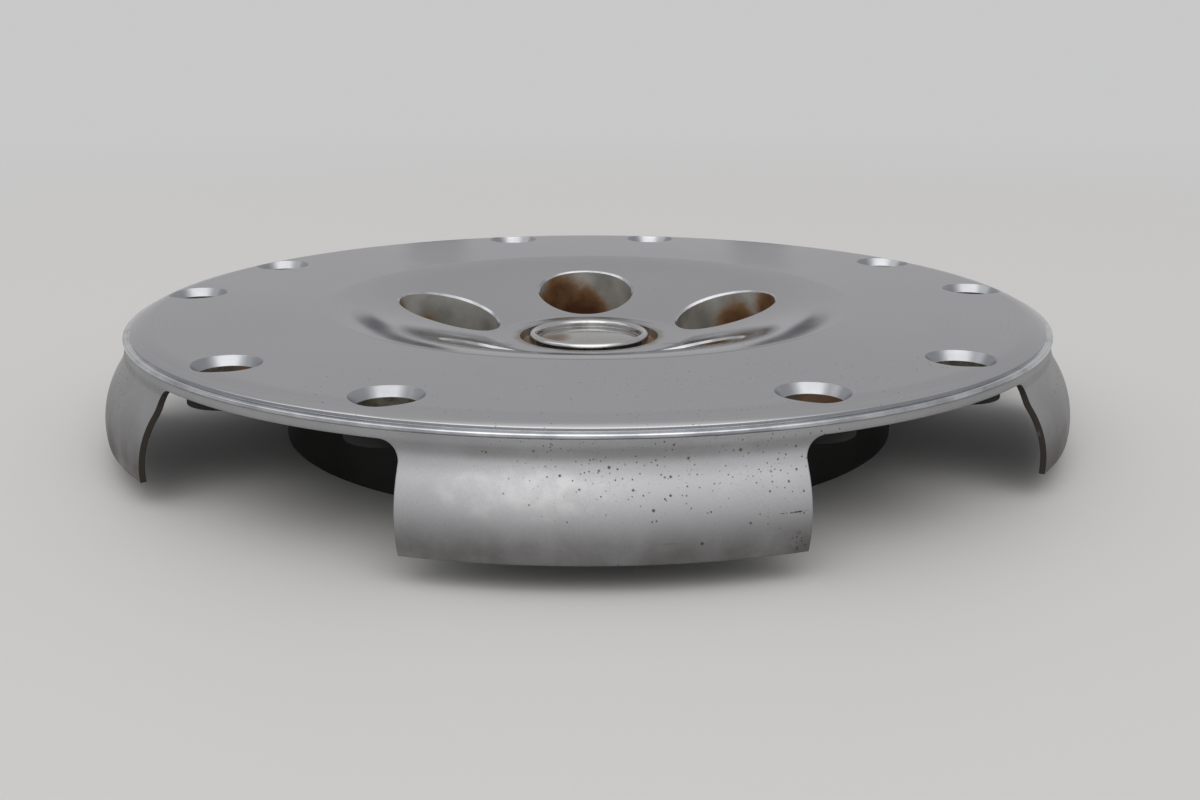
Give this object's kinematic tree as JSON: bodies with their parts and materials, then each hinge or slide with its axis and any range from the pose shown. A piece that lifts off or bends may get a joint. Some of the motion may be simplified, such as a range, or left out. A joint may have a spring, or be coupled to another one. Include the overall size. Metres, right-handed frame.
{
  "type": "wheel centre cap",
  "caption": "Round wheel centre cap with a dished polished face, nut wells, small rim holes and painted skirts that reach down between the spokes.",
  "frame": {"origin": "centre of the stud holes, in the plane of the mounting face", "axes": "+Z out of the polished face, -Y towards the middle of one skirt"},
  "size_m": [0.3518, 0.3439, 0.0454],
  "materials": {
    "cap_metal": "polished face and lip, satin silver paint on the skirts, worn",
    "badge": "polished"
  },
  "bodies": {
    "root": {"cap_body": "cap_metal", "centre_badge": "badge"}
  },
  "joints": []
}
